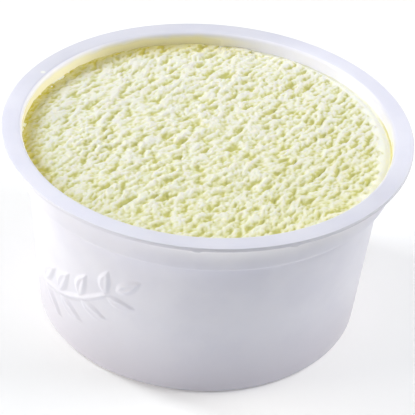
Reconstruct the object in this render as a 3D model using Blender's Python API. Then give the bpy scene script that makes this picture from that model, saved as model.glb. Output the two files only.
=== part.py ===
"""A single-serve gelato cup: a moulded plastic cup, and the gelato that fills it.

Metres, +Z up. The origin is the centre of the foot, on the surface that the cup stands
on, and -Y is the front. The cup is turned about Z: a recessed foot, a tapered body, a
neck that overhangs the body by a ledge, and a flat flange. A sprig of leaves stands out
in low relief on the body, at the front left. The gelato is one solid up to its uneven,
scraped top, with a hair's gap to the cup all round.
"""

import math

import bmesh
import bpy
import numpy as np

MM = 0.001

# Cup, outside
CUP_H = 38.36 * MM
FLANGE_R = 38.0 * MM
FLANGE_T = 0.75 * MM
NECK_R = 35.1 * MM
NECK_DRAFT = 0.15 * MM  # how much wider the neck is under the flange
LEDGE_Z = 31.4 * MM  # where the neck overhangs the body
BODY_FOOT_R = 30.51 * MM  # the body's wall carried down to the foot
BODY_TAPER = 0.0859  # radius gained for each unit of height
FOOT_RING_R = 27.4 * MM  # inner edge of the ring that the cup stands on
FOOT_RECESS = 0.6 * MM

# Cup, inside
WALL = 0.85 * MM
FLOOR_Z = 1.5 * MM

# Corner radii
LIP_ROUND = 0.14 * MM
RIM_ROUND = 0.8 * MM
SMALL_ROUND = 0.35 * MM
FOOT_ROUND = 1.1 * MM
FLOOR_ROUND = 1.6 * MM

# Sprig of leaves in relief, on the body's unrolled wall
SPRIG_ANGLE = math.radians(225.0)  # its middle, seen from above
SPRIG_Z = 16.0 * MM
SPRIG_RELIEF = 0.45 * MM
STEM_LENGTH = 23.0 * MM
STEM_RISE = 9.5 * MM
STEM_HALF_W = 1.0 * MM
STEM_BACK = 0.55  # share of the stem that lies before the sprig's middle
STEM_SINK = 0.5  # share of its rise that lies below the middle
STEM_TAPER = 0.125  # share of the stem over which each end narrows
LEAF_PAIRS = 4
FIRST_LEAF = 0.1  # share of the way along the stem
LAST_LEAF = 0.9
LEAF_LENGTH = 8.6 * MM
LEAF_WIDTH = 4.0 * MM
LEAF_SPREAD = math.radians(43.0)
LEAF_SHRINK = 0.22  # how much smaller the last pair is than the first
TIP_SIZE = 0.8  # the leaf at the tip, against the first pair
LEAF_BEND = 0.35  # how far a leaf curves back to the stem, for its length
LEAF_FULLNESS = 0.8  # below 1, a leaf is widest past its middle
EDGE_SLOPE = 0.9 * MM  # width of the sloping edge of a leaf or the stem

# Gelato
FIT_GAP = 0.3 * MM
GELATO_Z = 35.7 * MM
GELATO_EDGE_DROP = 0.35 * MM
GELATO_WAVE = 0.22 * MM  # height of the scraped top's long waves
WAVE_LENGTH = 15.0 * MM
WAVE_SWAY = 1.3  # how far a wave's crest wanders, in radians of its phase
SCRAPE_ANGLE = math.radians(28.0)
CROSS_ANGLE = math.radians(51.6)  # from the first train of waves to the second
CROSS_SIZE = 0.62  # the second train's height and length, against the first's

# Facets
COLUMNS = 60  # round the axis
SPRIG_COLUMNS = 11  # how many of them the sprig covers
SPRIG_SPLIT = 4  # each of those is split into this many
WALL_ROWS = 26
ARC_STEP = math.radians(30.0)
GELATO_RINGS = 11


def body_radius(z):
    """Outer radius of the tapered body at a height."""
    return BODY_FOOT_R + BODY_TAPER * z


def rounded(outline):
    """Rounds an outline's corners: for each (r, z, radius), the points of its corner.

    The arc runs between the two points where a circle of that radius touches the
    corner's sides, in steps of at most ARC_STEP. A radius of 0 keeps the corner.
    """
    corners = [[np.array(outline[0][:2])]]
    for before, here, after in zip(outline, outline[1:], outline[2:]):
        corner, radius = np.array(here[:2]), here[2]
        if not radius:
            corners.append([corner])
            continue
        back = np.array(before[:2]) - corner
        ahead = np.array(after[:2]) - corner
        back /= np.linalg.norm(back)
        ahead /= np.linalg.norm(ahead)
        inner = math.acos(float(np.clip(back @ ahead, -1.0, 1.0)))
        reach = radius / math.tan(inner / 2)
        middle = (back + ahead) / np.linalg.norm(back + ahead)
        centre = corner + middle * radius / math.sin(inner / 2)
        first = corner + back * reach - centre
        last = corner + ahead * reach - centre
        sweep = math.pi - inner
        steps = max(2, math.ceil(sweep / ARC_STEP))
        arc = []
        for k in range(steps + 1):
            share = k / steps
            mix = math.sin((1 - share) * sweep) * first + math.sin(share * sweep) * last
            arc.append(centre + mix / math.sin(sweep))
        corners.append(arc)
    corners.append([np.array(outline[-1][:2])])
    return corners


def cup_outline():
    """The cup's section, from the middle of its underside over the rim to its floor."""
    under_flange = CUP_H - FLANGE_T
    neck_in = NECK_R - WALL
    step_z = LEDGE_Z + WALL
    return [
        (0.0, FOOT_RECESS, 0),
        (FOOT_RING_R - FOOT_RECESS, FOOT_RECESS, SMALL_ROUND),
        (FOOT_RING_R, 0.0, 0),
        (BODY_FOOT_R, 0.0, FOOT_ROUND),
        (body_radius(LEDGE_Z), LEDGE_Z, 0),
        (NECK_R, LEDGE_Z, SMALL_ROUND),
        (NECK_R + NECK_DRAFT, under_flange, SMALL_ROUND),
        (FLANGE_R, under_flange, LIP_ROUND),
        (FLANGE_R, CUP_H, LIP_ROUND),
        (neck_in, CUP_H, RIM_ROUND),
        (neck_in, step_z, SMALL_ROUND),
        (body_radius(step_z) - WALL, step_z, SMALL_ROUND),
        (body_radius(FLOOR_Z) - WALL, FLOOR_Z, FLOOR_ROUND),
        (0.0, FLOOR_Z, 0),
    ]


def smooth(x):
    """0 below 0, 1 above 1, and an even S between."""
    x = min(max(x, 0.0), 1.0)
    return x * x * (3 - 2 * x)


def stem_point(share):
    """Point (along, up) on the stem: it rises with the square of the way along."""
    return np.array([(share - STEM_BACK) * STEM_LENGTH, (share * share - STEM_SINK) * STEM_RISE])


def stem_heading(share):
    """The stem's direction at a share of the way along it."""
    return math.atan2(2 * share * STEM_RISE, STEM_LENGTH)


def leaves():
    """Each leaf's root, direction and size: pairs along the stem and one at its tip."""
    found = []
    for pair in range(LEAF_PAIRS):
        way = pair / (LEAF_PAIRS - 1)
        share = FIRST_LEAF + (LAST_LEAF - FIRST_LEAF) * way
        size = 1.0 - LEAF_SHRINK * way
        for side in (-1, 1):
            heading = stem_heading(share) + side * LEAF_SPREAD
            found.append((stem_point(share), heading, size, side))
    found.append((stem_point(1.0), stem_heading(1.0), TIP_SIZE, 0))
    return found


def leaf_relief(spot, root, heading, size, side):
    """Height of one leaf, from 0 to 1: a pointed oval that bends back to the stem."""
    away = spot - root
    length = LEAF_LENGTH * size
    along = (away[0] * math.cos(heading) + away[1] * math.sin(heading)) / length
    if not 0 < along < 1:
        return 0.0
    across = away[1] * math.cos(heading) - away[0] * math.sin(heading)
    across -= side * LEAF_BEND * length * along * (1 - along)
    half_width = LEAF_WIDTH * size / 2 * math.sin(math.pi * along**LEAF_FULLNESS)
    return smooth((half_width - abs(across)) / EDGE_SLOPE)


def sprig_relief(angle, z):
    """How far the sprig stands out of the wall at an angle and a height."""
    middle_r = body_radius(SPRIG_Z)
    spot = np.array([(angle - SPRIG_ANGLE) * middle_r, z - SPRIG_Z])
    share = spot[0] / STEM_LENGTH + STEM_BACK
    height = max(leaf_relief(spot, *leaf) for leaf in leaves())
    if 0 < share < 1:
        ends = smooth(share / STEM_TAPER) * smooth((1 - share) / STEM_TAPER)
        half_width = STEM_HALF_W * ends
        away = abs(spot[1] - stem_point(share)[1])
        height = max(height, smooth((half_width - away) / EDGE_SLOPE))
    return SPRIG_RELIEF * height


def add_ring(bm, radius, z, fine=False):
    """One ring of points, as a list for each column, split finer across the sprig."""
    first = round(SPRIG_ANGLE / math.tau * COLUMNS - SPRIG_COLUMNS / 2)
    ring = []
    for column in range(COLUMNS):
        across_sprig = first <= column < first + SPRIG_COLUMNS
        split = SPRIG_SPLIT if fine and across_sprig else 1
        points = []
        for k in range(split):
            angle = (column + k / split) * math.tau / COLUMNS
            out = radius + (sprig_relief(angle, z) if fine and across_sprig else 0.0)
            points.append(bm.verts.new((out * math.cos(angle), out * math.sin(angle), z)))
        ring.append(points)
    return ring


def bridge(bm, lower, upper):
    """Faces between two rings; a column that only one ring splits gets one face."""
    for column in range(COLUMNS):
        following = (column + 1) % COLUMNS
        a = [*lower[column], lower[following][0]]
        b = [*upper[column], upper[following][0]]
        if len(a) == len(b):
            for k in range(len(a) - 1):
                bm.faces.new((a[k], a[k + 1], b[k + 1], b[k]))
        else:
            bm.faces.new(a + b[::-1])


def close_ring(bm, ring, z):
    """A fan of faces from a ring to a point on the axis."""
    pole = bm.verts.new((0.0, 0.0, z))
    for column in range(COLUMNS):
        bm.faces.new((ring[column][0], ring[(column + 1) % COLUMNS][0], pole))


def add_object(name, bm, material, sharp_angle):
    """Makes a named, smooth-shaded object of a closed mesh, with its faces outward."""
    bmesh.ops.recalc_face_normals(bm, faces=bm.faces)
    mesh = bpy.data.meshes.new(name)
    bm.to_mesh(mesh)
    bm.free()
    mesh.shade_smooth()
    mesh.set_sharp_from_angle(angle=sharp_angle)
    mesh.materials.append(material)
    piece = bpy.data.objects.new(name, mesh)
    bpy.context.scene.collection.objects.link(piece)
    return piece


def make_material(name, colour, roughness):
    """A plain Principled material, not metallic."""
    material = bpy.data.materials.new(name)
    material.use_nodes = True
    shader = material.node_tree.nodes["Principled BSDF"]
    shader.inputs["Base Color"].default_value = (*colour, 1.0)
    shader.inputs["Roughness"].default_value = roughness
    shader.inputs["Metallic"].default_value = 0.0
    return material


def make_cup():
    """The cup: its rounded section turned about Z, with the sprig on its outer wall."""
    corners = rounded(cup_outline())
    underside = [point for corner in corners[:3] for point in corner]
    foot, (wall_top,) = corners[3], corners[4]
    rise = (wall_top - foot[-1]) / WALL_ROWS
    wall = foot + [foot[-1] + row * rise for row in range(1, WALL_ROWS + 1)]
    upper = [point for corner in corners[5:] for point in corner]

    bm = bmesh.new()
    rings = [add_ring(bm, r, z) for r, z in underside[1:]]
    rings += [add_ring(bm, r, z, fine=True) for r, z in wall]
    rings += [add_ring(bm, r, z) for r, z in upper[:-1]]
    for lower, following in zip(rings, rings[1:]):
        bridge(bm, lower, following)
    close_ring(bm, rings[0], underside[0][1])
    close_ring(bm, rings[-1], upper[-1][1])
    plastic = make_material("cup_plastic", (0.80, 0.79, 0.86), 0.38)
    return add_object("cup", bm, plastic, math.radians(40.0))


def gelato_height(x, y):
    """The scraped top's long waves: two trains of them that cross."""
    waves = 0.0
    for turn, stretch in ((SCRAPE_ANGLE, 1.0), (SCRAPE_ANGLE + CROSS_ANGLE, CROSS_SIZE)):
        away = y * math.cos(turn) - x * math.sin(turn)
        along = x * math.cos(turn) + y * math.sin(turn)
        phase = math.tau * away / (WAVE_LENGTH * stretch)
        waves += stretch * math.sin(phase + WAVE_SWAY * math.sin(along / WAVE_LENGTH))
    return GELATO_Z + GELATO_WAVE * waves / (1.0 + CROSS_SIZE)


def make_gelato():
    """The gelato: the cup's inside less the gap, closed by the uneven top."""
    step_z = LEDGE_Z + WALL
    top_r = NECK_R - WALL - FIT_GAP
    body_gap = WALL + FIT_GAP
    side = rounded([
        (0.0, FLOOR_Z + FIT_GAP, 0),
        (body_radius(FLOOR_Z) - body_gap, FLOOR_Z + FIT_GAP, FLOOR_ROUND),
        (body_radius(step_z) - body_gap, step_z + FIT_GAP, SMALL_ROUND),
        (top_r, step_z + FIT_GAP, SMALL_ROUND),
        (top_r, GELATO_Z - GELATO_EDGE_DROP, 0),
    ])
    points = [point for corner in side for point in corner]

    bm = bmesh.new()
    rings = [add_ring(bm, r, z) for r, z in points[1:]]
    outer_r = top_r - GELATO_EDGE_DROP
    for k in range(GELATO_RINGS - 1, 0, -1):
        ring = add_ring(bm, outer_r * k / (GELATO_RINGS - 1), GELATO_Z)
        for (vert,) in ring:
            vert.co.z = gelato_height(vert.co.x, vert.co.y)
        rings.append(ring)
    for lower, following in zip(rings, rings[1:]):
        bridge(bm, lower, following)
    close_ring(bm, rings[0], FLOOR_Z + FIT_GAP)
    close_ring(bm, rings[-1], gelato_height(0.0, 0.0))
    cream = make_material("gelato", (0.82, 0.82, 0.55), 0.6)
    return add_object("gelato", bm, cream, math.radians(50.0))


def main():
    """Clears the scene and makes the cup and its gelato."""
    for old in list(bpy.data.objects):
        bpy.data.objects.remove(old, do_unlink=True)
    make_cup()
    make_gelato()


main()
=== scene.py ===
"""The looks of a gelato cup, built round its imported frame.

A moulded plastic cup with a flat flange, a sprig of leaves in relief on its wall, and
pale pistachio gelato scraped level just below the rim. Everything is in metres, +Z up,
with the origin at the centre of the foot and the front towards -Y.
"""

import logging
import math
from dataclasses import dataclass
from enum import Enum

import bpy
import numpy as np
from mathutils import Matrix, Vector


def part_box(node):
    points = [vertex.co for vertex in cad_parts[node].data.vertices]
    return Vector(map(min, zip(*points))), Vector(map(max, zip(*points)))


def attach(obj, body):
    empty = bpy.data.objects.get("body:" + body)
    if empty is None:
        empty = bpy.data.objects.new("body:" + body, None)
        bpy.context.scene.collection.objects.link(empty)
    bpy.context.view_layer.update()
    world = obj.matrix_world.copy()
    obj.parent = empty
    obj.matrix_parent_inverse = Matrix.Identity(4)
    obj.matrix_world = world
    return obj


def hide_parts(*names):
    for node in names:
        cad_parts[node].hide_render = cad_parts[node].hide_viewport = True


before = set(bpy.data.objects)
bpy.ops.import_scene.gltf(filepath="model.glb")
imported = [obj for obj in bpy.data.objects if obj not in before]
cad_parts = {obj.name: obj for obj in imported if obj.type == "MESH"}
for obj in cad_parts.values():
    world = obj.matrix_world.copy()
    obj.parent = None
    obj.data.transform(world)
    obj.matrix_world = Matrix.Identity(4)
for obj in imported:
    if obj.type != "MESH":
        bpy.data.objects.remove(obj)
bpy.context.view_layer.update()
LOG = logging.getLogger("gelato_cup")

MM = 0.001

Colour = tuple[float, float, float]
Setting = object
Term = "Value | float"


class Body(Enum):
    """The frame's bodies."""

    ROOT = "root"


class Node(Enum):
    """The frame's nodes that the pieces stand for."""

    CUP = "cup"
    GELATO = "gelato"


class Slot(Enum):
    """The record's material slots."""

    PLASTIC = "cup_plastic"
    GELATO = "gelato"


class Side(Enum):
    """Which side of the stem a leaf grows on; the last leaf is in line with it."""

    BELOW = -1
    IN_LINE = 0
    ABOVE = 1


# ---------------------------------------------------------------- shader arithmetic


class Value:
    """A number that varies over a surface: one socket, with Math nodes as operators."""

    def __init__(self, nodes: "Nodes", socket: bpy.types.NodeSocket) -> None:
        """Keeps the socket and the node tree that it belongs to."""
        self.nodes = nodes
        self.socket = socket

    def _math(self, operation: str, *terms: Term) -> "Value":
        """Adds a Math node of an operation, with its terms in order."""
        return self.nodes.value("ShaderNodeMath", {"operation": operation}, dict(enumerate(terms)))

    def __add__(self, other: Term) -> "Value":
        """self + other."""
        return self._math("ADD", self, other)

    __radd__ = __add__

    def __sub__(self, other: Term) -> "Value":
        """self - other."""
        return self._math("SUBTRACT", self, other)

    def __rsub__(self, other: Term) -> "Value":
        """other - self."""
        return self._math("SUBTRACT", other, self)

    def __mul__(self, other: Term) -> "Value":
        """self * other."""
        return self._math("MULTIPLY", self, other)

    __rmul__ = __mul__

    def __truediv__(self, other: Term) -> "Value":
        """self / other."""
        return self._math("DIVIDE", self, other)

    def __pow__(self, other: Term) -> "Value":
        """self to the power of other."""
        return self._math("POWER", self, other)

    def root(self) -> "Value":
        """The square root."""
        return self._math("SQRT", self)

    def step(self, start: Term, end: Term) -> "Value":
        """A smooth step from 0 at start to 1 at end.

        Args:
            start: where the step begins; it may be above end, and the step then falls.
            end: where it ends.

        Returns:
            3 t t - 2 t t t, with t the share of the way from start to end.
        """
        sockets = {"Value": self, "From Min": start, "From Max": end}
        return self.nodes.value("ShaderNodeMapRange", {"interpolation_type": "SMOOTHSTEP"}, sockets)


class Nodes:
    """The node tree of one material."""

    def __init__(self, material: bpy.types.Material) -> None:
        """Takes over a material's tree and finds its Principled shader."""
        material.use_nodes = True
        self.tree = material.node_tree
        self.shader = self.tree.nodes["Principled BSDF"]

    def node(
        self,
        kind: str,
        settings: dict[str, Setting] | None = None,
        sockets: dict[str | int, Setting] | None = None,
    ) -> bpy.types.Node:
        """Adds a node.

        Args:
            kind: the node's type.
            settings: its properties, set first; "stops" holds a ramp's positions and colours.
            sockets: a value or a link for each socket, by name or number.

        Returns:
            The new node.
        """
        made = self.tree.nodes.new(kind)
        for name, setting in (settings or {}).items():
            if name == "stops":
                self._set_stops(made.color_ramp, setting)
            else:
                setattr(made, name, setting)
        for name, term in (sockets or {}).items():
            self.feed(made.inputs[name], term)
        return made

    @staticmethod
    def _set_stops(ramp: bpy.types.ColorRamp, stops: list[tuple[float, Colour]]) -> None:
        """Gives a ramp its stops, each a position and a colour."""
        while len(ramp.elements) < len(stops):
            ramp.elements.new(1.0)
        for element, (position, colour) in zip(ramp.elements, stops):
            element.position = position
            element.color = (*colour, 1.0)

    def feed(self, socket: bpy.types.NodeSocket, term: Setting) -> None:
        """Links a socket to a Value or to another socket, or sets its value."""
        if isinstance(term, Value):
            self.tree.links.new(term.socket, socket)
        elif isinstance(term, bpy.types.NodeSocket):
            self.tree.links.new(term, socket)
        elif isinstance(term, tuple) and socket.type == "RGBA":
            socket.default_value = (*term, 1.0)
        else:
            socket.default_value = term

    def value(
        self,
        kind: str,
        settings: dict[str, Setting] | None = None,
        sockets: dict[str | int, Setting] | None = None,
        output: str | int = 0,
    ) -> Value:
        """Adds a node as node does, and returns one of its outputs as a Value."""
        return Value(self, self.node(kind, settings, sockets).outputs[output])

    def place(self) -> bpy.types.NodeSocket:
        """The point on the piece, in the frame's axes and metres."""
        return self.node("ShaderNodeTexCoord").outputs["Object"]

    def axes(self, point: bpy.types.NodeSocket) -> tuple[Value, Value, Value]:
        """The x, y and z of a point."""
        split = self.node("ShaderNodeSeparateXYZ", None, {"Vector": point})
        return tuple(Value(self, split.outputs[k]) for k in range(3))

    def noise(self, point: bpy.types.NodeSocket, size: float, detail: float = 3.0) -> Value:
        """Cloudy noise from 0 to 1.

        Args:
            point: where it is read.
            size: the width of its blotches, in metres.
            detail: how many finer layers lie over the first.

        Returns:
            The noise, about 0.5 on average.
        """
        sockets = {"Vector": point, "Scale": 1.0 / size, "Detail": detail}
        return self.value("ShaderNodeTexNoise", None, sockets)

    def mix(self, share: Term, first: Setting, second: Setting) -> bpy.types.NodeSocket:
        """A colour between two others.

        Args:
            share: 0 for the first colour, 1 for the second.
            first: a colour or a colour socket.
            second: a colour or a colour socket.

        Returns:
            The mixed colour's socket.
        """
        made = self.node("ShaderNodeMix", {"data_type": "RGBA"}, {0: share, 6: first, 7: second})
        return made.outputs[2]

    def bump(self, height: Value, depth: float, under: Setting = None) -> bpy.types.NodeSocket:
        """A normal tilted by a height.

        Args:
            height: the height, in units of depth.
            depth: what a height of 1 stands for, in metres.
            under: a normal to tilt further, if any.

        Returns:
            The normal's socket.
        """
        sockets = {"Height": height, "Distance": depth, "Strength": 1.0}
        if under is not None:
            sockets["Normal"] = under
        return self.node("ShaderNodeBump", None, sockets).outputs["Normal"]

    def finish(self, **terms: Setting) -> None:
        """Feeds the Principled shader's sockets, named with _ for each space."""
        for name, term in terms.items():
            self.feed(self.shader.inputs[name.replace("_", " ")], term)


# ---------------------------------------------------------------- surfaces


def smooth_step(x: np.ndarray) -> np.ndarray:
    """0 below 0, 1 above 1, and 3 x x - 2 x x x between."""
    x = np.clip(x, 0.0, 1.0)
    return x * x * (3 - 2 * x)


def slope_noise(x: np.ndarray, y: np.ndarray, seed: int) -> np.ndarray:
    """Gradient noise, about -1 to 1, with features one unit wide.

    Each corner of the unit grid has a random slope; a point takes the heights that the
    four slopes round it give, mixed by t t t (10 - 15 t + 6 t t) of its place in the cell.

    Args:
        x: first coordinate of the points.
        y: second coordinate.
        seed: which noise.

    Returns:
        The noise at each point.
    """
    grid = 256
    turns = np.random.default_rng(seed).random((grid, grid)) * math.tau
    cell_x, cell_y = np.floor(x).astype(int), np.floor(y).astype(int)
    in_x, in_y = x - cell_x, y - cell_y
    ease_x = in_x**3 * (10 - 15 * in_x + 6 * in_x**2)
    ease_y = in_y**3 * (10 - 15 * in_y + 6 * in_y**2)
    total = np.zeros_like(x)
    for right in (0, 1):
        for up in (0, 1):
            turn = turns[(cell_x + right) % grid, (cell_y + up) % grid]
            slope = np.cos(turn) * (in_x - right) + np.sin(turn) * (in_y - up)
            share_x = ease_x if right else 1 - ease_x
            share_y = ease_y if up else 1 - ease_y
            total += slope * share_x * share_y
    return 1.5 * total


def crumb_noise(x: np.ndarray, y: np.ndarray, seed: int) -> np.ndarray:
    """Domes round scattered points, 1 at a dome's top and 0 a unit away.

    Each unit cell holds one point at random; the height is 1 less the square of the
    distance to the nearest.

    Args:
        x: first coordinate of the points.
        y: second coordinate.
        seed: which pattern.

    Returns:
        The height at each point.
    """
    grid = 256
    jitter = np.random.default_rng(seed).random((grid, grid, 2))
    cell_x, cell_y = np.floor(x).astype(int), np.floor(y).astype(int)
    nearest = np.full_like(x, 9.0)
    for right in (-1, 0, 1):
        for up in (-1, 0, 1):
            spot = jitter[(cell_x + right) % grid, (cell_y + up) % grid]
            away_x = cell_x + right + spot[..., 0] - x
            away_y = cell_y + up + spot[..., 1] - y
            nearest = np.minimum(nearest, away_x**2 + away_y**2)
    return np.clip(1 - nearest, 0.0, 1.0)


def rounded_outline(corners: list[tuple[float, float, float]], step: float) -> np.ndarray:
    """A section's corners, each rounded by an arc that touches both its sides.

    The arc of a corner runs between the points a tangent length away along its sides,
    as a slerp about the arc's centre.

    Args:
        corners: (radius from the axis, height, rounding), the ends without rounding.
        step: the largest turn between two points of an arc, in radians.

    Returns:
        The section's points, one (radius, height) a row.
    """
    points = [np.array(corners[0][:2])]
    for before, here, after in zip(corners, corners[1:], corners[2:]):
        corner, radius = np.array(here[:2]), here[2]
        if not radius:
            points.append(corner)
            continue
        back = np.array(before[:2]) - corner
        ahead = np.array(after[:2]) - corner
        back /= np.linalg.norm(back)
        ahead /= np.linalg.norm(ahead)
        inner = math.acos(float(back @ ahead))
        middle = (back + ahead) / np.linalg.norm(back + ahead)
        centre = corner + middle * radius / math.sin(inner / 2)
        first = corner + back * radius / math.tan(inner / 2) - centre
        last = corner + ahead * radius / math.tan(inner / 2) - centre
        sweep = math.pi - inner
        share = np.linspace(0, 1, max(2, math.ceil(sweep / step)) + 1)[:, None]
        arc = np.sin((1 - share) * sweep) * first + np.sin(share * sweep) * last
        points.extend(centre + arc / math.sin(sweep))
    points.append(np.array(corners[-1][:2]))
    return np.array(points)


def refined(points: np.ndarray, step: float) -> np.ndarray:
    """A section with points added along its long sides, evenly, at most step apart."""
    parts = [points[:1]]
    for start, end in zip(points, points[1:]):
        count = max(1, math.ceil(np.linalg.norm(end - start) / step))
        parts.append(start + (end - start) * (np.arange(1, count + 1) / count)[:, None])
    return np.concatenate(parts)


def ring_faces(rings: np.ndarray) -> np.ndarray:
    """The quads between closed rings of points.

    Args:
        rings: the rings' point indices, a ring a row, turning to the left as seen from
            the side that the next ring's faces look to.

    Returns:
        Four point indices a row.
    """
    along = np.roll(rings, -1, axis=1)
    return np.stack([rings[:-1], along[:-1], along[1:], rings[1:]], -1).reshape(-1, 4)


def fan_faces(ring: np.ndarray, pole: int) -> np.ndarray:
    """The triangles between a closed ring of point indices and one more point."""
    return np.stack([ring, np.roll(ring, -1), np.full_like(ring, pole)], -1)


def add_piece(name: str, points: np.ndarray, faces: list[np.ndarray], sharp: float) -> bpy.types.Object:
    """Puts a surface into a mesh object at the origin, shaded smooth.

    Args:
        name: the piece's name.
        points: one (x, y, z) a row, in metres.
        faces: arrays of faces, each with its own number of corners.
        sharp: edges that turn by more than this angle stay sharp, in radians.

    Returns:
        The new object.
    """
    mesh = bpy.data.meshes.new(name)
    mesh.from_pydata(points.tolist(), [], [face for part in faces for face in part.tolist()])
    mesh.validate()
    mesh.shade_smooth()
    mesh.set_sharp_from_angle(angle=sharp)
    piece = bpy.data.objects.new(name, mesh)
    bpy.context.scene.collection.objects.link(piece)
    return piece


def dress(piece: bpy.types.Object, material: bpy.types.Material) -> None:
    """Gives a piece its material and slot, sets it on the root and reports it."""
    piece.data.materials.append(material)
    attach(piece, Body.ROOT.value)
    LOG.info("%s: %d faces", piece.name, len(piece.data.polygons))


# ---------------------------------------------------------------- finishes


@dataclass(frozen=True)
class CupPlastic:
    """Milky moulded plastic that lets some light through its thin wall.

    Inside, a film of melted gelato tints the wall and thins out towards the rim; the tint also holds
    painted bounce light and shade.
    """

    wall_middle: float
    neck_bottom: float
    rim: float
    lip: float
    shell: Colour = (0.80, 0.80, 0.88)
    mottle: Colour = (0.76, 0.76, 0.85)
    # painted shade: the colour that the wall darkens to towards the foot
    foot: Colour = (0.67, 0.655, 0.73)
    foot_shade_reach: float = 17.0 * MM
    # painted shade of the lip's cut edge
    lip_shade: Colour = (0.65, 0.65, 0.71)
    # tint of the melted film, which also holds painted bounce light and shade from the gelato
    film: Colour = (0.95, 0.88, 0.45)
    film_and_bounce_share: float = 0.8
    lit_side: float = math.radians(45.0)
    splash: tuple[float, float] = (-32.2 * MM, 14.9 * MM)
    roughness: float = 0.36
    scatter: float = 0.35
    scatter_reach: float = 0.8 * MM
    # painted glows, standing in for light that passes through the wall
    neck_glow: Colour = (0.20, 0.195, 0.13)
    wall_glow: Colour = (0.21, 0.21, 0.23)
    rim_glow: Colour = (0.09, 0.09, 0.11)

    def material(self) -> bpy.types.Material:
        """Builds the plastic.

        Returns:
            Its material. The film, whose tint also holds painted bounce light and shade, is there only
            inside the middle of the wall, ends in a ragged edge near the rim and is left off the lit
            side. The plastic has painted shade towards the foot and on the cut edge of the lip;
            the neck, the inner wall and the flange have a painted glow, standing in for some of
            the light that enters the wall from the sides.
        """
        made = bpy.data.materials.new("cup_plastic")
        nodes = Nodes(made)
        place = nodes.place()
        x, y, z = nodes.axes(place)
        radius = (x * x + y * y).root()
        cloud = nodes.noise(place, 9 * MM)
        grain = nodes.noise(place, 0.5 * MM, 4.0)
        middle, top = self.wall_middle, self.rim

        def towards(angle: float) -> Value:
            """The cosine of the angle from a direction round the axis."""
            return (math.cos(angle) * x + math.sin(angle) * y) / radius

        inside = radius.step(middle + 0.1 * MM, middle - 0.1 * MM)
        inside = inside * z.step(self.neck_bottom, self.neck_bottom + 0.5 * MM)
        outside = radius.step(middle - 0.1 * MM, middle + 0.1 * MM)
        plain = nodes.mix(cloud.step(0.35, 0.7), self.shell, self.mottle)
        # painted shade: the wall darkens towards the foot
        plain = nodes.mix(z.step(self.foot_shade_reach, 0.0), plain, self.foot)
        # painted shade on the lip's cut edge, which faces away from the light
        edge = radius.step(self.lip - 0.14 * MM, self.lip - 0.04 * MM)
        plain = nodes.mix(edge, plain, self.lip_shade)
        away_x, away_y = x - self.splash[0], y - self.splash[1]
        splash = outside * (away_x * away_x + away_y * away_y).root().step(0.6 * MM, 0.3 * MM)
        plain = nodes.mix(splash * z.step(top - 1.0 * MM, top), plain, (0.97, 0.97, 0.94))
        # film of melted gelato with painted bounce light and shade in it, left off the lit side of the
        # inner wall
        ragged = z + 1.2 * MM * (nodes.noise(place, 3.5 * MM) - 0.5)
        film = inside * ragged.step(top, top - 1.5 * MM)
        film = film * (1 - towards(self.lit_side).step(0.62, 0.92))
        colour = nodes.mix(self.film_and_bounce_share * film, plain, self.film)

        # painted glow on the neck, the lit side of the inner wall, the flange and the lip, standing in
        # for light through the plastic
        neck = outside * z.step(self.neck_bottom, top - 0.2 * MM)
        neck = neck * radius.step(self.lip, self.lip - 0.6 * MM) * z.step(top - 0.3 * MM, top - 0.6 * MM)
        front = towards(math.radians(300.0)).step(0.6, 0.85)
        neck = neck * (0.85 * front + 0.5 * towards(math.radians(190.0)).step(0.8, 1.0))
        shone = towards(math.radians(168.0)).step(0.7, 0.97)
        shone = 0.85 * shone + 0.5 * towards(math.radians(52.0)).step(0.75, 1.0) + 0.2
        flange = z.step(top - 0.3 * MM, top) * outside * (1 - edge)
        flange = flange * (towards(math.radians(25.0)) ** 2.0).step(0.3, 0.8)
        flange = flange + edge * towards(math.radians(215.0)).step(0.4, 0.95)
        light = nodes.mix(neck, (0.0, 0.0, 0.0), self.neck_glow)
        light = nodes.mix(inside * shone, light, self.wall_glow)
        light = nodes.mix(flange, light, self.rim_glow)

        nodes.finish(
            Base_Color=colour,
            Emission_Color=light,
            Emission_Strength=1.0,
            Roughness=self.roughness + 0.06 * (cloud - 0.5) - 0.12 * film,
            Subsurface_Weight=self.scatter,
            Subsurface_Radius=(1.0, 0.95, 0.9),
            Subsurface_Scale=self.scatter_reach,
            IOR=1.49,
            Normal=nodes.bump(grain, 0.006 * MM),
        )
        return made


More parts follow.
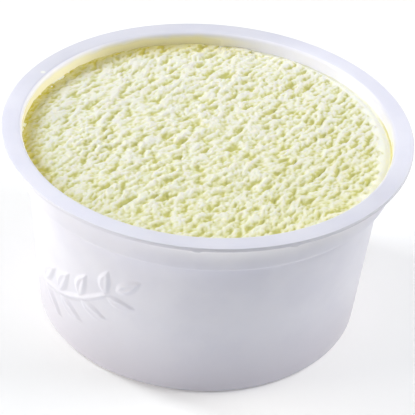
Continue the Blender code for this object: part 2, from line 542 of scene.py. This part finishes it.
@dataclass(frozen=True)
class GelatoCream:
    """Frozen gelato, with painted shade: pale where it stands out, deeper green-yellow in its hollows.
    """

    # painted shade: colours from a lit crest to a shaded pit
    crest: Colour = (0.92, 0.91, 0.80)
    middle: Colour = (0.82, 0.81, 0.51)
    hollow_shade: Colour = (0.65, 0.63, 0.21)
    roughness: float = 0.42
    scatter: float = 0.5
    scatter_reach: float = 0.35 * MM
    grain_depth: float = 0.09 * MM
    # painted shadow of the rim on the gelato's margin
    painted_rim_shadow: Colour = (0.62, 0.53, 0.07)
    melted: Colour = (0.93, 0.93, 0.83)
    # painted glow of the melted margin, standing in for light through the wall
    glow: Colour = (0.13, 0.13, 0.11)

    def material(self) -> bpy.types.Material:
        """Builds the gelato.

        The piece has three attributes: one of painted shade, 1 at the bottom of a pit, one of
        the rim's painted shadow, and "melt", 1 where the gelato has melted smooth.

        Returns:
            Its material: three colours of painted shade by depth, with a cloudy variation over
            them, a browner painted shadow of the rim, most of all in the pits, and a paler,
            wetter one where it has melted, with a painted glow that stands in for light from the wall.
        """
        made = bpy.data.materials.new("gelato_cream")
        nodes = Nodes(made)
        place = nodes.place()
        cloud = nodes.noise(place, 5 * MM)
        grain = nodes.noise(place, 0.35 * MM, 4.0)
        hollow_shade, painted_rim_shadow, melt = (
            nodes.value("ShaderNodeAttribute", {"attribute_name": name}, None, "Fac")
            for name in ("hollow_shade", "painted_rim_shadow", "melt")
        )
        # painted shade by depth, with a cloudy variation over it
        depth = hollow_shade + 0.14 * (cloud - 0.5) + 0.25 * (grain - 0.5)
        pale = nodes.mix(depth.step(0.0, 0.4), self.crest, self.middle)
        torn = nodes.mix(depth.step(0.3, 0.95), pale, self.hollow_shade)
        # painted shadow of the rim, deepest in the pits
        torn = nodes.mix(painted_rim_shadow * (0.75 + 0.25 * depth.step(0.0, 0.5)), torn, self.painted_rim_shadow)
        nodes.finish(
            Base_Color=nodes.mix(melt, torn, self.melted),
            # painted glow where the gelato has melted
            Emission_Color=nodes.mix(melt, (0.0, 0.0, 0.0), self.glow),
            Emission_Strength=1.0,
            Roughness=self.roughness - 0.15 * (grain - 0.5) - 0.14 * melt,
            Subsurface_Weight=self.scatter,
            Subsurface_Radius=(1.0, 0.9, 0.4),
            Subsurface_Scale=self.scatter_reach,
            IOR=1.36,
            Normal=nodes.bump(grain * (1.0 - 0.8 * melt), self.grain_depth),
        )
        return made


@dataclass(frozen=True)
class MeltedCream:
    """The smooth, wet cream where gelato has melted against the wall."""

    wall: float
    pale: Colour = (0.88, 0.88, 0.78)
    deep: Colour = (0.86, 0.85, 0.64)
    line: Colour = (0.80, 0.74, 0.34)
    # painted glow, standing in for light through the wall
    glow: Colour = (0.11, 0.11, 0.09)
    roughness: float = 0.28

    def material(self) -> bpy.types.Material:
        """Builds the melted cream.

        Returns:
            Its material: two pale tones, clouded into each other. On the right it has a painted
            glow, standing in for light from the wall, and is deeper in colour in a line along it.
        """
        made = bpy.data.materials.new("melted_cream")
        nodes = Nodes(made)
        place = nodes.place()
        cloud = nodes.noise(place, 4 * MM)
        ripple = nodes.noise(place, 1.2 * MM, 2.0)
        x, y, _ = nodes.axes(place)
        radius = (x * x + y * y).root()
        # the right side, where the painted glow lies
        right = (x / radius).step(0.55, 0.95)
        cream = nodes.mix(cloud.step(0.35, 0.65), self.pale, self.deep)
        line = (x / radius).step(0.93, 0.985) * radius.step(self.wall - 0.4 * MM, self.wall - 0.15 * MM)
        nodes.finish(
            Base_Color=nodes.mix(line, cream, self.line),
            Emission_Color=nodes.mix(right * (1 - line), (0.0, 0.0, 0.0), self.glow),
            Emission_Strength=1.0,
            Roughness=self.roughness + 0.2 * (cloud - 0.5),
            IOR=1.36,
            Normal=nodes.bump(ripple, 0.04 * MM),
        )
        return made


@dataclass(frozen=True)
class PaleFloor:
    """A plain pale studio floor, faintly uneven in tone."""

    light: Colour = (0.94, 0.94, 0.94)
    dull: Colour = (0.92, 0.92, 0.92)
    glow: float = 0.13

    def material(self) -> bpy.types.Material:
        """Builds the floor's matt paint."""
        made = bpy.data.materials.new("pale_floor")
        nodes = Nodes(made)
        cloud = nodes.noise(nodes.place(), 0.3)
        nodes.finish(
            Base_Color=nodes.mix(cloud, self.light, self.dull),
            Roughness=0.9,
            Emission_Color=(1.0, 1.0, 1.0),
            Emission_Strength=self.glow,
        )
        return made


# ---------------------------------------------------------------- the cup


@dataclass(frozen=True)
class Leaf:
    """One leaf of the sprig, on the unrolled wall."""

    root: tuple[float, float]
    heading: float
    length: float
    width: float
    side: Side

    def height(self, along_wall: np.ndarray, up_wall: np.ndarray) -> np.ndarray:
        """The leaf's relief, from 0 to 1.

        A pointed oval: its half width is a sine of the way to the tip, its middle line
        bends as w (1 - w) of that way, its edge is a smooth step and its midrib a groove.

        Args:
            along_wall: distance round the wall, from the sprig's middle.
            up_wall: height above the sprig's middle.

        Returns:
            The relief at each point.
        """
        away_x, away_y = along_wall - self.root[0], up_wall - self.root[1]
        way = (away_x * math.cos(self.heading) + away_y * math.sin(self.heading)) / self.length
        on_leaf = (way > 0) & (way < 1)
        way = np.clip(way, 0.0, 1.0)
        across = away_y * math.cos(self.heading) - away_x * math.sin(self.heading)
        across -= self.side.value * Sprig.LEAF_BEND * self.length * way * (1 - way)
        half_width = self.width / 2 * np.sin(math.pi * way**0.8)
        blade = smooth_step((half_width - np.abs(across)) / Sprig.EDGE_SLOPE)
        rib = np.exp(-((across / Sprig.RIB_WIDTH) ** 2)) * smooth_step(4 * (0.85 - way))
        return on_leaf * blade * (1 - Sprig.RIB_DEPTH * rib)


@dataclass(frozen=True)
class Sprig:
    """A sprig of leaves in relief, drawn on the cup's unrolled wall."""

    angle: float = math.radians(225.0)
    middle_z: float = 16.0 * MM
    relief: float = 0.38 * MM
    stem_length: float = 23.0 * MM
    stem_rise: float = 9.5 * MM
    stem_half_width: float = 1.0 * MM
    stem_back: float = 0.55
    pairs: int = 4
    leaf_length: float = 8.6 * MM
    leaf_width: float = 4.0 * MM
    leaf_spread: float = math.radians(43.0)
    leaf_shrink: float = 0.22

    LEAF_BEND = 0.35
    EDGE_SLOPE = 1.15 * MM
    RIB_WIDTH = 0.4 * MM
    RIB_DEPTH = 0.35

    def stem(self, share: float | np.ndarray) -> tuple[float | np.ndarray, float | np.ndarray]:
        """The stem's point at a share of its length: it rises with the share's square."""
        along = (share - self.stem_back) * self.stem_length
        return along, (share * share - 0.5) * self.stem_rise

    def heading(self, share: float) -> float:
        """The stem's direction at a share of its length."""
        return math.atan2(2 * share * self.stem_rise, self.stem_length)

    def leaves(self) -> list[Leaf]:
        """The pairs of leaves along the stem, smaller towards the tip, and the one there."""
        found = []
        for pair in range(self.pairs):
            way = pair / (self.pairs - 1)
            share = 0.1 + 0.8 * way
            size = 1 - self.leaf_shrink * way
            for side in (Side.BELOW, Side.ABOVE):
                heading = self.heading(share) + side.value * self.leaf_spread
                length, width = self.leaf_length * size, self.leaf_width * size
                found.append(Leaf(self.stem(share), heading, length, width, side))
        length, width = 0.8 * self.leaf_length, 0.8 * self.leaf_width
        found.append(Leaf(self.stem(1.0), self.heading(1.0), length, width, Side.IN_LINE))
        return found

    def height(self, along_wall: np.ndarray, up_wall: np.ndarray) -> np.ndarray:
        """How far the sprig stands out.

        The highest of the leaves and of the stem, whose half width tapers to its ends.

        Args:
            along_wall: distance round the wall, from the sprig's middle.
            up_wall: height above the sprig's middle.

        Returns:
            The relief at each point, in metres.
        """
        share = along_wall / self.stem_length + self.stem_back
        taper = smooth_step(8 * share) * smooth_step(8 * (1 - share))
        away = np.abs(up_wall - self.stem(np.clip(share, 0, 1))[1])
        total = smooth_step((self.stem_half_width * taper - away) / self.EDGE_SLOPE)
        for leaf in self.leaves():
            total = np.maximum(total, leaf.height(along_wall, up_wall))
        return self.relief * total


@dataclass(frozen=True)
class Cup:
    """The moulded cup: a rounded section turned about Z, with the sprig on its wall."""

    flange_r: float
    height: float
    flange_t: float = 0.75 * MM
    neck_r: float = 35.1 * MM
    neck_draft: float = 0.15 * MM
    ledge_z: float = 31.4 * MM
    foot_r: float = 30.51 * MM
    taper: float = 0.0859
    foot_ring_r: float = 27.4 * MM
    foot_recess: float = 0.6 * MM
    wall: float = 0.85 * MM
    floor_z: float = 1.5 * MM
    lip_round: float = 0.14 * MM
    rim_round: float = 0.8 * MM
    small_round: float = 0.35 * MM
    foot_round: float = 1.1 * MM
    floor_round: float = 1.6 * MM
    nib_angles: tuple[float, ...] = (math.radians(269.4), math.radians(295.4))
    nib_size: float = 0.35 * MM
    nib_width: float = math.radians(0.9)
    sprig: Sprig = Sprig()
    sprig_sector: float = math.radians(62.0)
    sprig_columns: int = 210
    plain_columns: int = 300
    fine_step: float = 0.22 * MM
    coarse_step: float = 2.5 * MM
    arc_step: float = math.radians(15.0)

    def body_r(self, z: float) -> float:
        """Outer radius of the tapered body at a height."""
        return self.foot_r + self.taper * z

    @property
    def neck_in(self) -> float:
        """Inner radius of the neck."""
        return self.neck_r - self.wall

    @property
    def step_z(self) -> float:
        """Height of the step inside the cup, over the ledge."""
        return self.ledge_z + self.wall

    def inner_corners(self, gap: float) -> list[tuple[float, float, float]]:
        """The corners inside the cup, from the neck down to the floor, a gap off the wall."""
        rounding = self.small_round
        return [
            (self.neck_in - gap, self.step_z + gap, rounding),
            (self.body_r(self.step_z) - self.wall - gap, self.step_z + gap, rounding),
            (self.body_r(self.floor_z) - self.wall - gap, self.floor_z + gap, self.floor_round),
            (0.0, self.floor_z + gap, 0),
        ]

    def section(self) -> np.ndarray:
        """The section's points, from under the cup over its rim to its floor.

        Fine steps run up the part of the wall that bears the sprig.
        """
        under = self.height - self.flange_t
        low, high = self.sprig.middle_z - 11 * MM, self.sprig.middle_z + 11 * MM
        below = [
            (0.0, self.foot_recess, 0),
            (self.foot_ring_r - self.foot_recess, self.foot_recess, self.small_round),
            (self.foot_ring_r, 0.0, 0.1 * MM),
            (self.foot_r, 0.0, self.foot_round),
            (self.body_r(low), low, 0),
        ]
        above = [
            (self.body_r(high), high, 0),
            (self.body_r(self.ledge_z), self.ledge_z, 0.12 * MM),
            (self.neck_r, self.ledge_z, self.small_round),
            (self.neck_r + self.neck_draft, under, self.small_round),
            (self.flange_r, under, self.lip_round),
            (self.flange_r, self.height, self.lip_round),
            (self.neck_in, self.height, self.rim_round),
            *self.inner_corners(0.0),
        ]
        parts = [
            refined(rounded_outline(below, self.arc_step), self.coarse_step),
            refined(np.array([below[-1][:2], above[0][:2]]), self.fine_step)[1:-1],
            refined(rounded_outline(above, self.arc_step), self.coarse_step),
        ]
        return np.concatenate(parts)

    def angles(self) -> np.ndarray:
        """The columns' angles, closer together across the sprig."""
        start, end = self.sprig.angle - self.sprig_sector / 2, self.sprig.angle + self.sprig_sector / 2
        fine = np.linspace(start, end, self.sprig_columns, endpoint=False)
        plain = np.linspace(end, start + math.tau, self.plain_columns, endpoint=False)
        return np.concatenate([fine, plain])

    def relief(self, angle: np.ndarray, r: np.ndarray, z: np.ndarray) -> np.ndarray:
        """How far the sprig stands out of the turned section.

        Args:
            angle: the angle round the axis, at each point.
            r: the section's radius there.
            z: its height.

        Returns:
            The distance outwards, in metres.
        """
        on_body = (r > self.body_r(z) - 0.5 * self.wall) & (z < self.ledge_z) & (z > 0.1 * MM)
        round_wall = (angle - self.sprig.angle) * self.body_r(self.sprig.middle_z)
        return on_body * self.sprig.height(round_wall, z - self.sprig.middle_z)

    def nibs(self, angle: np.ndarray, r: np.ndarray, z: np.ndarray) -> np.ndarray:
        """How far the lip's lower edge hangs down in nibs, where runners were cut off.

        Args:
            angle: the angle round the axis, at each point.
            r: the section's radius there.
            z: its height.

        Returns:
            The distance downwards, in metres: a bell curve of the angle for each nib.
        """
        on_edge = (r > self.flange_r - 0.5 * MM) & (z < self.height - 0.5 * self.flange_t)
        bells = [np.exp(-(((angle - nib) / self.nib_width) ** 2)) for nib in self.nib_angles]
        return self.nib_size * on_edge * sum(bells)

    def build(self) -> bpy.types.Object:
        """Turns the section and adds the relief.

        Returns:
            The cup's object, closed at both poles.
        """
        section, angles = self.section(), self.angles()
        r, z = section[1:-1, :1], section[1:-1, 1:]
        angle = np.broadcast_to(angles, (len(r), len(angles)))
        out = r + self.relief(angle, r, z)
        up = z - self.nibs(angle, r, z)
        rings = np.stack([out * np.cos(angle), out * np.sin(angle), up], -1)
        poles = np.array([[0, 0, section[0, 1]], [0, 0, section[-1, 1]]])
        points = np.concatenate([rings.reshape(-1, 3), poles])
        index = np.arange(rings.shape[0] * rings.shape[1]).reshape(rings.shape[:2])
        bottom, top = len(points) - 2, len(points) - 1
        faces = [
            ring_faces(index),
            fan_faces(index[0][::-1], bottom),
            fan_faces(index[-1], top),
        ]
        piece = add_piece("cup_shell", points, faces, math.radians(50.0))
        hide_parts(Node.CUP.value)
        middle = self.neck_r - self.wall / 2
        finish = CupPlastic(middle, self.step_z - 0.2 * MM, self.height, self.flange_r)
        dress(piece, finish.material())
        return piece


# ---------------------------------------------------------------- the gelato


@dataclass(frozen=True)
class ScrapedTop:
    """The height of the gelato's top, torn by the scraper into short, slanting pits."""

    level: float
    wave: float = 0.22 * MM
    wave_length: float = 15.0 * MM
    wave_angle: float = math.radians(28.0)
    grain_angle: float = math.radians(48.0)
    grain_bend: float = 0.012 / MM
    ripple_length: float = 3.45 * MM
    ripple_width: float = 1.53 * MM
    ripple_height: float = 0.31 * MM
    sway: float = 0.11
    pit_start: float = 0.32
    pit_depth: float = 0.22 * MM
    pit_slope: float = 0.65
    lump_size: float = 1.0 * MM
    lump_height: float = 0.15 * MM
    knob_size: float = 0.83 * MM
    knob_height: float = 0.32 * MM
    bead_size: float = 0.45 * MM
    bead_height: float = 0.09 * MM
    grain_size: float = 0.41 * MM
    grain_height: float = 0.03 * MM
    fold_length: float = 1.1 * MM
    fold_width: float = 1.35 * MM
    fold_height: float = 0.22 * MM
    calm_size: float = 8.0 * MM
    calm_share: float = 0.43
    crest_level: float = 0.29 * MM
    # painted shade gathers in the pits and on the sides away from the key light
    shade_depth: float = 0.81 * MM
    key_light_angle: float = math.radians(159.0)
    lee_reach: float = 0.35 * MM
    lee_share: float = 0.8

    def waves(self, x: np.ndarray, y: np.ndarray) -> np.ndarray:
        """The long waves: two trains of sines that cross at a low angle, in metres."""
        total = np.zeros_like(x)
        for turn, stretch in ((self.wave_angle, 1.0), (self.wave_angle + 0.9, 0.62)):
            away = y * math.cos(turn) - x * math.sin(turn)
            along = x * math.cos(turn) + y * math.sin(turn)
            phase = math.tau * away / (self.wave_length * stretch)
            total += stretch * np.sin(phase + 1.3 * np.sin(along / self.wave_length))
        return self.wave * total / 1.62

    def relief(self, x: np.ndarray, y: np.ndarray) -> np.ndarray:
        """The torn surface about its level.

        Coordinates run along and across the grain, which turns slowly from left to right
        because a square of x is added across it. Gradient noise, stretched along the
        grain and pushed sideways by its own height, falls into pits past a threshold;
        crumbs and specks are domes round scattered points, over it all.

        Args:
            x: first coordinate of the points.
            y: second coordinate.

        Returns:
            The height in metres.
        """
        along = x * math.cos(self.grain_angle) + y * math.sin(self.grain_angle)
        across = y * math.cos(self.grain_angle) - x * math.sin(self.grain_angle)
        across = across - self.grain_bend / 2 * x * np.abs(x)
        a, b = along / self.ripple_length, across / self.ripple_width
        b = b + self.sway * slope_noise(0.6 * a, 0.4 * b, 2)
        ridge = slope_noise(a, b, 3)
        lump = slope_noise(along / (1.3 * self.lump_size), across / self.lump_size, 10)
        knob = crumb_noise(along / (1.15 * self.knob_size) + 0.3 * lump, across / self.knob_size, 6)
        bead = crumb_noise(x / self.bead_size, y / self.bead_size, 7)
        grain = slope_noise(x / self.grain_size, y / self.grain_size, 8)
        calm = slope_noise(x / self.calm_size, y / self.calm_size, 5)
        rough = np.clip(1.0 - self.calm_share * calm + 0.2 * x / (30 * MM), 0.4, 1.5)
        pit = smooth_step((-ridge - 0.5 * lump - self.pit_start) / self.pit_slope)
        fold = np.abs(slope_noise(along / self.fold_length + 0.3 * lump, across / self.fold_width, 23))
        height = rough * (self.ripple_height * ridge - self.pit_depth * pit)
        height += self.fold_height * rough * (fold - 0.3)
        height += self.lump_height * lump + self.grain_height * grain
        height += self.knob_height * (0.4 + 0.6 * rough) * (knob - 0.6)
        return height + self.bead_height * (bead - 0.6)

    def hollow_shade(self, x: np.ndarray, y: np.ndarray, height: np.ndarray) -> np.ndarray:
        """How much painted shade the surface takes, from 0 on a crest to 1 in a pit.

        It falls in what is low, and on the side of each crest away from the key light: there the
        surface is higher a short way off, towards the light.

        Args:
            x: first coordinate of the points.
            y: second coordinate.
            height: the relief there.

        Returns:
            A smooth step of the depth below the crests and of the rise towards the light.
        """
        away = self.lee_reach
        lightward_x = x + away * math.cos(self.key_light_angle)
        lightward_y = y + away * math.sin(self.key_light_angle)
        rise = self.relief(lightward_x, lightward_y) - height
        return smooth_step((self.crest_level - height + self.lee_share * rise) / self.shade_depth)

    def surface(self, x: np.ndarray, y: np.ndarray) -> tuple[np.ndarray, np.ndarray]:
        """The top's height above the foot, in metres, and its share of painted shade."""
        relief = self.relief(x, y)
        return self.level + self.waves(x, y) + relief, self.hollow_shade(x, y, relief)


def disc_grid(cells: int, radius: float) -> tuple[np.ndarray, np.ndarray]:
    """An even grid on a disc: squares of a square grid, each moved out to its circle.

    A point of the square, at a and b from -1 to 1, goes to the radius of the larger of
    the two, turned by a quarter of pi times the smaller over the larger.

    Args:
        cells: squares along each side.
        radius: the disc's radius.

    Returns:
        x and y of the points, a row of the square a row.
    """
    side = np.linspace(-1.0, 1.0, cells + 1)
    a, b = np.meshgrid(side, side)
    wide = np.abs(a) >= np.abs(b)
    larger, smaller = np.where(wide, a, b), np.where(wide, b, a)
    quarter = math.pi / 4 * smaller / np.where(larger == 0, 1.0, larger)
    turn = np.where(wide, quarter, math.pi / 2 - quarter)
    return radius * larger * np.cos(turn), radius * larger * np.sin(turn)


def grid_faces(index: np.ndarray) -> np.ndarray:
    """The quads of an open grid of point indices, four a row."""
    quads = [index[:-1, :-1], index[:-1, 1:], index[1:, 1:], index[1:, :-1]]
    return np.stack(quads, -1).reshape(-1, 4)


def grid_rim(index: np.ndarray) -> np.ndarray:
    """The outermost indices of a grid, in order round it, turning to the left."""
    return np.concatenate(
        [index[:-1, -1], index[-1, :0:-1], index[:0:-1, 0], index[0, :-1]]
    )


@dataclass(frozen=True)
class Gelato:
    """The gelato: the inside of the cup, filled to a torn, uneven top."""

    cup: Cup
    top: ScrapedTop
    bite: float = 0.15 * MM
    cells: int = 288
    margin: float = 1.6 * MM
    margin_drop: float = 0.25 * MM
    # painted shadow of the rim on one side of the margin: its width, strength and middle
    rim_shadow_width: float = 4.4 * MM
    rim_shadow_share: float = 1.0
    rim_shadow_middle: float = math.radians(152.0)
    melt_width: float = 0.2 * MM
    melt_extra: float = 2.4 * MM
    melt_edge: float = 0.8 * MM
    tone_x: float = 0.045 / (25 * MM)
    tone_y: float = -0.09 / (25 * MM)

    @property
    def reach(self) -> float:
        """The top's radius: it reaches just into the wall."""
        return self.cup.neck_in + self.bite

    def surface(self, x: np.ndarray, y: np.ndarray) -> tuple[np.ndarray, dict[str, np.ndarray]]:
        """The top's height and what it is like.

        Next to the wall the top is lower and calmer. A painted shadow of the rim lies there on one
        side; on the other, where the cup has been warmed, the margin has melted smooth, to a
        ragged edge. Over the whole top the colour deepens slowly towards the front.

        Args:
            x: first coordinate of the points.
            y: second coordinate.

        Returns:
            The height above the foot in metres, and the shares of painted hollow shade, painted rim
            shadow and melt.
        """
        height, hollow_shade = self.top.surface(x, y)
        inwards = self.reach - np.hypot(x, y)
        turn = np.arctan2(y, x)
        # painted shadow of the rim, on the side that the key light comes from
        side = smooth_step(1.15 * np.cos(turn - self.rim_shadow_middle))
        painted_rim_shadow = self.rim_shadow_share * side * smooth_step(1.15 - inwards / self.rim_shadow_width)

        warm = (0.5 + 0.5 * np.cos(turn)) ** 5
        ragged = slope_noise(x / (1.8 * MM), y / (1.8 * MM), 15)
        width = self.melt_width + self.melt_extra * warm * (1 + 0.45 * ragged)
        melt = smooth_step((width - inwards) / self.melt_edge + 0.5) * smooth_step(4 * warm - 0.2)
        edge = smooth_step(1 - inwards / self.margin)
        calm = np.maximum(0.55 * edge * (0.35 + 0.65 * (0.5 + 0.5 * np.cos(turn))), 0.93 * melt)
        flat = self.top.level - self.margin_drop * edge
        tone = self.tone_x * x + self.tone_y * y
        return height + (flat - height) * calm, {"hollow_shade": hollow_shade + tone, "painted_rim_shadow": painted_rim_shadow, "melt": melt}

    def build(self) -> bpy.types.Object:
        """Fills the cup.

        The top is an even grid on a disc; from its rim, rings run down the inside of
        the cup and across its floor to a pole.

        Returns:
            The gelato's object, with its attributes of painted hollow shade, painted rim shadow and
            melt.
        """
        x, y = disc_grid(self.cells, self.reach)
        z, shares = self.surface(x, y)
        grid = np.arange(x.size).reshape(x.shape)
        rim = grid_rim(grid)
        turn = np.arctan2(y.ravel()[rim], x.ravel()[rim])

        corners = [(self.reach, self.top.level - 1.2 * MM, 0), *self.cup.inner_corners(-self.bite)]
        side = refined(rounded_outline(corners, math.radians(30.0)), 12 * MM)[::-1]
        r, down = side[1:, :1], side[1:, 1:]
        rings = np.stack([r * np.cos(turn), r * np.sin(turn), down + 0 * turn], -1)
        index = x.size + np.arange(rings.shape[0] * rings.shape[1]).reshape(rings.shape[:2])
        pole = np.array([[0.0, 0.0, side[0, 1]]])

        points = np.concatenate(
            [np.stack([x, y, z], -1).reshape(-1, 3), rings.reshape(-1, 3), pole]
        )
        faces = [
            grid_faces(grid),
            ring_faces(np.concatenate([index, rim[None]])),
            fan_faces(index[0][::-1], len(points) - 1),
        ]
        piece = add_piece("gelato_fill", points, faces, math.radians(80.0))
        for name, share in shares.items():
            values = np.zeros(len(points), np.float32)
            values[: share.size] = share.ravel()
            piece.data.attributes.new(name, "FLOAT", "POINT").data.foreach_set("value", values)
        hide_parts(Node.GELATO.value)
        dress(piece, GelatoCream().material())
        return piece


@dataclass(frozen=True)
class MeltedRim:
    """The film of melted gelato between the torn top and the wall."""

    gelato: Gelato
    columns: int = 360
    rows: int = 10
    width: float = 0.6 * MM
    extra_width: float = 0.35 * MM
    climb: float = 0.35 * MM
    wettest: float = math.radians(5.0)

    def build(self) -> bpy.types.Object:
        """Lays the film round the wall.

        A section that hangs in a curve between the wall and the top, the square of the
        way out, closed below by the same curve lowered; it is widest on one side, as a
        power of the cosine of the angle from there, and ragged by noise.

        Returns:
            The film's object.
        """
        angle = np.linspace(0, math.tau, self.columns, endpoint=False)
        ragged = slope_noise(14 * np.cos(angle), 14 * np.sin(angle), 11)
        side = (0.5 + 0.5 * np.cos(angle - self.wettest)) ** 3
        width = self.width * (1 + 0.45 * ragged) + self.extra_width * side
        climb = self.climb * (1 + 0.5 * np.roll(ragged, 40)) * (0.6 + 0.8 * side)
        way = np.linspace(0, 1, self.rows)[:, None]
        r = self.gelato.reach - width * (1 - way)
        base = self.gelato.top.level - self.gelato.margin_drop
        z = base + climb * way**2.2 + 0.05 * MM * (1 - way)
        under = z - (0.5 * MM + 0.2 * MM * way)
        r = np.concatenate([r, r[::-1]])
        z = np.concatenate([z, under[::-1]])
        points = np.stack([r * np.cos(angle), r * np.sin(angle), z], -1)
        index = np.arange(points.shape[0] * points.shape[1]).reshape(points.shape[:2])
        closed = np.concatenate([index, index[:1]])[::-1]
        piece = add_piece("melted_rim", points.reshape(-1, 3), [ring_faces(closed)], math.radians(60.0))
        dress(piece, MeltedCream(self.gelato.cup.neck_in).material())
        return piece


# ---------------------------------------------------------------- the studio


@dataclass(frozen=True)
class SoftBox:
    """A square studio light that looks at the cup."""

    name: str
    azimuth: float
    elevation: float
    distance: float
    width: float
    watts: float
    colour: Colour = (1.0, 1.0, 1.0)

    def build(self, aim: Vector) -> bpy.types.Object:
        """Hangs the light at its azimuth, from the front round to the right, and elevation."""
        light = bpy.data.lights.new(self.name, "AREA")
        light.shape = "SQUARE"
        light.size = self.width
        light.energy = self.watts
        light.color = self.colour
        lamp = bpy.data.objects.new(self.name, light)
        azimuth, elevation = math.radians(self.azimuth), math.radians(self.elevation)
        level = math.cos(elevation)
        out = Vector((math.sin(azimuth) * level, -math.cos(azimuth) * level, math.sin(elevation)))
        lamp.location = aim + self.distance * out
        lamp.rotation_euler = out.to_track_quat("Z", "Y").to_euler()
        bpy.context.scene.collection.objects.link(lamp)
        return lamp


@dataclass(frozen=True)
class Studio:
    """The floor, the lights and the camera."""

    aim: Vector
    lens: float = 163.0
    distance: float = 368.84 * MM
    elevation: float = math.radians(37.714)
    roll: float = math.radians(4.194)
    floor_size: float = 3.0
    sky: Colour = (0.96, 0.97, 1.0)
    sky_strength: float = 0.05
    lights: tuple[SoftBox, ...] = (
        SoftBox("key", -112.0, 35.0, 0.6, 0.14, 1.7, (0.97, 1.0, 1.0)),
        SoftBox("left", -80.0, 15.0, 0.6, 0.3, 2.1, (1.0, 0.94, 0.84)),
        SoftBox("right_high", 90.0, 50.0, 0.6, 0.3, 1.9),
        SoftBox("right_low", 120.0, 20.0, 0.6, 0.3, 0.7, (1.0, 0.94, 0.82)),
        SoftBox("top", 0.0, 88.0, 0.6, 0.4, 0.55, (0.75, 0.85, 1.0)),
        SoftBox("front", 0.0, 20.0, 0.6, 0.3, 0.2, (0.93, 0.95, 1.0)),
    )

    def add_camera(self) -> bpy.types.Object:
        """Looks at the aim from the front and above, rolled a little about the view."""
        level = math.cos(self.elevation)
        place = Vector((0.0, -self.distance * level, self.distance * math.sin(self.elevation)))
        ahead = (self.aim - place).normalized()
        right = ahead.cross(Vector((0.0, 0.0, 1.0))).normalized()
        up = right.cross(ahead)
        tilt_right = math.cos(self.roll) * right + math.sin(self.roll) * up
        tilt_up = math.cos(self.roll) * up - math.sin(self.roll) * right
        camera = bpy.data.cameras.new("camera")
        camera.lens = self.lens
        camera.clip_start, camera.clip_end = 0.01, 20.0
        stand = bpy.data.objects.new("camera", camera)
        turn = Matrix((tilt_right, tilt_up, -ahead)).transposed()
        stand.matrix_world = Matrix.Translation(place) @ turn.to_4x4()
        bpy.context.scene.collection.objects.link(stand)
        bpy.context.scene.camera = stand
        return stand

    def add_floor(self) -> bpy.types.Object:
        """Lays a square floor under the foot."""
        half = self.floor_size / 2
        side = np.linspace(-half, half, 3)
        x, y = np.meshgrid(side, side)
        points = np.stack([x, y, np.zeros_like(x)], -1).reshape(-1, 3)
        index = np.arange(x.size).reshape(x.shape)
        floor = add_piece("floor", points, [grid_faces(index)], math.pi)
        floor.data.materials.append(PaleFloor().material())
        return floor

    def add_sky(self) -> None:
        """Surrounds the studio with an even pale light."""
        world = bpy.data.worlds.new("studio")
        world.use_nodes = True
        shade = world.node_tree.nodes["Background"]
        shade.inputs["Color"].default_value = (*self.sky, 1.0)
        shade.inputs["Strength"].default_value = self.sky_strength
        bpy.context.scene.world = world

    def build(self) -> None:
        """Sets up the studio, with colours shown as they are."""
        self.add_camera()
        self.add_floor()
        self.add_sky()
        for light in self.lights:
            light.build(self.aim)
        bpy.context.scene.view_settings.view_transform = "Standard"
        LOG.info("studio: %d lights", len(self.lights))


# ---------------------------------------------------------------- all together


def main() -> None:
    """Builds the studio, the cup, the gelato and what lies on it, in that order."""
    logging.basicConfig(level=logging.INFO, format="%(name)s: %(message)s")
    low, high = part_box(Node.CUP.value)
    Studio(aim=Vector((0.93 * MM, 0.0, 20.07 * MM))).build()
    cup = Cup(flange_r=(high[0] - low[0]) / 2, height=high[2])
    cup.build()
    gelato = Gelato(cup, ScrapedTop(level=35.7 * MM))
    gelato.build()
    MeltedRim(gelato).build()


if __name__ == "__main__":
    main()
